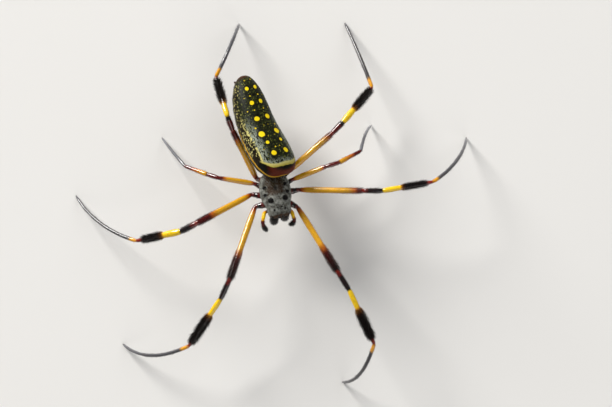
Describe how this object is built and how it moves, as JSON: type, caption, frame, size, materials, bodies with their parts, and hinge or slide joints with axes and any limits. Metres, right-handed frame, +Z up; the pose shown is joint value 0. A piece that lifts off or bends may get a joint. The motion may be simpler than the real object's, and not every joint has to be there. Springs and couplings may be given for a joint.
{
  "type": "golden silk orb weaver spider",
  "caption": "Life-size still model of a golden silk orb weaver female standing with long brushed legs spread in her web pose, for display and study.",
  "frame": {"origin": "centre of the footprint, on the floor that the eight feet stand on", "axes": "+Z up, +X towards the left legs and the widest way across, the head towards -Y"},
  "size_m": [0.0862, 0.0796, 0.0191],
  "materials": {
    "carapace": "grey-silver down over dark skin with bare black spots",
    "horn_black": "near-black glossy mouthparts",
    "sternum": "dark brown with a yellow band",
    "abdomen": "dark olive with yellow spots, a pale front band and fine white flecks",
    "spinnerets": "red-brown",
    "eye": "clear black",
    "coxa": "dark red",
    "leg_skin": "yellow-orange banded with dark red",
    "brush": "black bristles",
    "foot": "grey-black with an orange base"
  },
  "bodies": {
    "root": {"carapace": "carapace", "sternum": "sternum", "pedicel": "coxa", "abdomen": "abdomen", "spinnerets": "spinnerets", "chelicera_r": "horn_black", "chelicera_l": "horn_black", "fang_r": "horn_black", "fang_l": "horn_black", "palp_r": "leg_skin", "palp_l": "leg_skin", "eye_ame_r": "eye", "eye_ame_l": "eye", "eye_pme_r": "eye", "eye_pme_l": "eye", "eye_ale_r": "eye", "eye_ale_l": "eye", "eye_ple_r": "eye", "eye_ple_l": "eye", "leg_r1_coxa": "coxa", "leg_r1_femur": "leg_skin", "leg_r1_patella": "leg_skin", "leg_r1_tibia": "brush", "leg_r1_foot": "foot", "leg_l1_coxa": "coxa", "leg_l1_femur": "leg_skin", "leg_l1_patella": "leg_skin", "leg_l1_tibia": "brush", "leg_l1_foot": "foot", "leg_r2_coxa": "coxa", "leg_r2_femur": "leg_skin", "leg_r2_patella": "leg_skin", "leg_r2_tibia": "brush", "leg_r2_foot": "foot", "leg_l2_coxa": "coxa", "leg_l2_femur": "leg_skin", "leg_l2_patella": "leg_skin", "leg_l2_tibia": "brush", "leg_l2_foot": "foot", "leg_r3_coxa": "coxa", "leg_r3_femur": "leg_skin", "leg_r3_patella": "leg_skin", "leg_r3_tibia": "leg_skin", "leg_r3_foot": "foot", "leg_l3_coxa": "coxa", "leg_l3_femur": "leg_skin", "leg_l3_patella": "leg_skin", "leg_l3_tibia": "leg_skin", "leg_l3_foot": "foot", "leg_r4_coxa": "coxa", "leg_r4_femur": "leg_skin", "leg_r4_patella": "leg_skin", "leg_r4_tibia": "brush", "leg_r4_foot": "foot", "leg_l4_coxa": "coxa", "leg_l4_femur": "leg_skin", "leg_l4_patella": "leg_skin", "leg_l4_tibia": "brush", "leg_l4_foot": "foot"}
  },
  "joints": []
}
